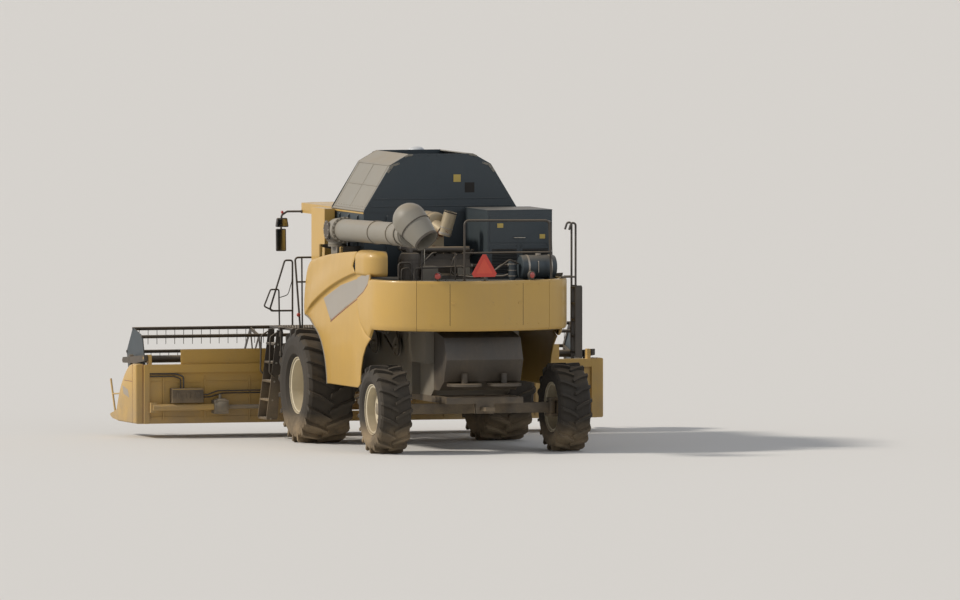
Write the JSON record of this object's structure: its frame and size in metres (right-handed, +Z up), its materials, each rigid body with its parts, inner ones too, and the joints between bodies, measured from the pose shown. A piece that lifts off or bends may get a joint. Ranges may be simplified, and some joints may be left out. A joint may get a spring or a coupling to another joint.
{
  "type": "combine harvester",
  "caption": "Self-propelled combine harvester with a grain header and tined reel, high grain tank with folding extension, side unloading tube, cab and rear-wheel steering.",
  "frame": {"origin": "middle of the overall box at ground level, under the tyres", "axes": "+X forward towards the header, +Y to the machine's left, +Z up"},
  "size_m": [9.27, 7.92, 4.81],
  "materials": {
    "yellow_paint": "satin",
    "dark_paint": "satin",
    "grey_paint": "satin",
    "cream_paint": "satin",
    "dome": "satin",
    "roof": "matte",
    "interior": "matte",
    "tyre": "matte",
    "glass": "gloss",
    "bright_steel": "gloss"
  },
  "bodies": {
    "machine": {"chassis": "dark_paint", "threshing_body": "grey_paint", "front_axle": "dark_paint", "rear_axle": "dark_paint", "grain_tank": "dark_paint", "shield_arms": "dark_paint", "filling_auger": "grey_paint", "front_wall": "dark_paint", "rear_wall": "dark_paint", "receiver": "dome", "engine_deck": "dark_paint", "engine": "dark_paint", "exhaust": "cream_paint", "cooling_box": "dark_paint", "deck_rails": "dark_paint", "rear_ladder": "dark_paint", "rear_hood": "yellow_paint", "corner_panels": "yellow_paint", "side_post": "yellow_paint", "chopper": "dark_paint", "cab_shell": "yellow_paint", "cab_roof": "roof", "cab_glass": "glass", "cab_interior": "interior", "mirrors": "dark_paint", "platform": "dark_paint", "unloader_duct": "grey_paint"},
    "front_left_wheel": {"front_left_tyre": "tyre", "front_left_rim": "cream_paint"},
    "front_right_wheel": {"front_right_tyre": "tyre", "front_right_rim": "cream_paint"},
    "rear_left_wheel": {"rear_left_tyre": "tyre", "rear_left_rim": "cream_paint"},
    "rear_right_wheel": {"rear_right_tyre": "tyre", "rear_right_rim": "cream_paint"},
    "left_steering": {"left_knuckle": "dark_paint"},
    "right_steering": {"right_knuckle": "dark_paint"},
    "tie_rod": {"tie_rod": "grey_paint"},
    "left_cover": {"left_cover": "grey_paint"},
    "right_cover": {"right_cover": "grey_paint"},
    "left_shield": {"left_shield": "yellow_paint"},
    "right_shield": {"right_shield": "yellow_paint"},
    "door": {"cab_door": "yellow_paint", "door_glass": "glass"},
    "front_ladder": {"front_ladder": "dark_paint"},
    "unloader": {"unloader_tube": "grey_paint", "unloader_spout": "grey_paint"},
    "feeder": {"feeder_house": "yellow_paint", "header_frame": "yellow_paint", "header_ends": "yellow_paint", "cutterbar": "dark_paint"},
    "header_auger": {"header_auger": "grey_paint"},
    "lift_barrels": {"lift_barrels": "dark_paint"},
    "lift_rods": {"lift_rods": "bright_steel"},
    "reel_arms": {"reel_arms": "yellow_paint"},
    "reel": {"reel": "dark_paint"},
    "reel_barrels": {"reel_barrels": "dark_paint"},
    "reel_rods": {"reel_rods": "bright_steel"}
  },
  "joints": [
    {"name": "front_left_wheel_spin", "type": "hinge", "parent": "machine", "child": "front_left_wheel", "pos_m": [1.035, 1.52, 0.925], "axis": [0, 1, 0], "continuous": true},
    {"name": "front_right_wheel_spin", "type": "hinge", "parent": "machine", "child": "front_right_wheel", "pos_m": [1.035, -1.52, 0.925], "axis": [0, 1, 0], "continuous": true},
    {"name": "steer", "type": "hinge", "parent": "machine", "child": "left_steering", "pos_m": [-2.715, 1.27, 0.705], "axis": [0, 0, 1], "range_deg": [-38, 38]},
    {"name": "right_steer", "type": "hinge", "parent": "machine", "child": "right_steering", "pos_m": [-2.715, -1.27, 0.705], "axis": [0, 0, 1], "range_deg": [-38, 38]},
    {"name": "tie_rod_swing", "type": "hinge", "parent": "left_steering", "child": "tie_rod", "pos_m": [-2.495, 1.27, 0.625], "axis": [0, 0, 1], "range_deg": [-38, 38]},
    {"name": "rear_left_wheel_spin", "type": "hinge", "parent": "left_steering", "child": "rear_left_wheel", "pos_m": [-2.715, 1.5, 0.705], "axis": [0, 1, 0], "continuous": true},
    {"name": "rear_right_wheel_spin", "type": "hinge", "parent": "right_steering", "child": "rear_right_wheel", "pos_m": [-2.715, -1.5, 0.705], "axis": [0, 1, 0], "continuous": true},
    {"name": "tank_covers", "type": "hinge", "parent": "machine", "child": "left_cover", "pos_m": [0.06, 1.276, 3.79], "axis": [1, 0, 0], "range_deg": [0, 50]},
    {"name": "right_cover_fold", "type": "hinge", "parent": "machine", "child": "right_cover", "pos_m": [0.06, -1.276, 3.79], "axis": [1, 0, 0], "range_deg": [-50, 0]},
    {"name": "left_shield_lift", "type": "hinge", "parent": "machine", "child": "left_shield", "pos_m": [-0.065, 1.6, 3.195], "axis": [1, 0, 0], "range_deg": [0, 70]},
    {"name": "right_shield_lift", "type": "hinge", "parent": "machine", "child": "right_shield", "pos_m": [-0.065, -1.6, 3.195], "axis": [-1, 0, 0], "range_deg": [0, 70]},
    {"name": "door_swing", "type": "hinge", "parent": "machine", "child": "door", "pos_m": [1.647, 0.976, 2.79], "axis": [0, 0, 1], "range_deg": [0, 85]},
    {"name": "front_ladder_swing", "type": "hinge", "parent": "machine", "child": "front_ladder", "pos_m": [2.105, 1.8, 1.6], "axis": [0, 0, -1], "range_deg": [0, 85]},
    {"name": "unloader_swing", "type": "hinge", "parent": "machine", "child": "unloader", "pos_m": [-0.085, 1.505, 3.475], "axis": [0, 0, -1], "range_deg": [0, 100]},
    {"name": "feeder_lift", "type": "hinge", "parent": "machine", "child": "feeder", "pos_m": [1.655, 0, 1.56], "axis": [0, -1, 0], "range_deg": [-5, 18]},
    {"name": "lift_barrel_tilt", "type": "hinge", "parent": "machine", "child": "lift_barrels", "pos_m": [1.225, 0, 0.85], "axis": [0, -1, 0], "range_deg": [-4, 13.2]},
    {"name": "lift_rod_stroke", "type": "slide", "parent": "lift_barrels", "child": "lift_rods", "axis": [0.984, 0, -0.1781], "range_m": [-0.07, 0.24]},
    {"name": "header_auger_spin", "type": "hinge", "parent": "feeder", "child": "header_auger", "pos_m": [3.37, 0, 0.525], "axis": [0, 1, 0], "continuous": true},
    {"name": "reel_lift", "type": "hinge", "parent": "feeder", "child": "reel_arms", "pos_m": [3.155, 0, 1.3], "axis": [0, -1, 0], "range_deg": [-2, 20]},
    {"name": "reel_spin", "type": "hinge", "parent": "reel_arms", "child": "reel", "pos_m": [3.955, 0, 1.24], "axis": [0, 1, 0], "continuous": true},
    {"name": "reel_barrel_tilt", "type": "hinge", "parent": "feeder", "child": "reel_barrels", "pos_m": [3.205, 0, 0.78], "axis": [0, -1, 0], "range_deg": [-1.5, 11]},
    {"name": "reel_rod_stroke", "type": "slide", "parent": "reel_barrels", "child": "reel_rods", "axis": [0.8059, 0, 0.5921], "range_m": [-0.02, 0.15]}
  ],
  "couplings": [
    {"joint": "right_steer", "follows": "steer", "ratio": 1},
    {"joint": "tie_rod_swing", "follows": "steer", "ratio": -1},
    {"joint": "right_cover_fold", "follows": "tank_covers", "ratio": -1},
    {"joint": "lift_barrel_tilt", "follows": "feeder_lift", "ratio": 0.72},
    {"joint": "lift_rod_stroke", "follows": "feeder_lift", "m_per_rad": 0.739},
    {"joint": "reel_barrel_tilt", "follows": "reel_lift", "ratio": 0.5485},
    {"joint": "reel_rod_stroke", "follows": "reel_lift", "m_per_rad": 0.4203}
  ]
}
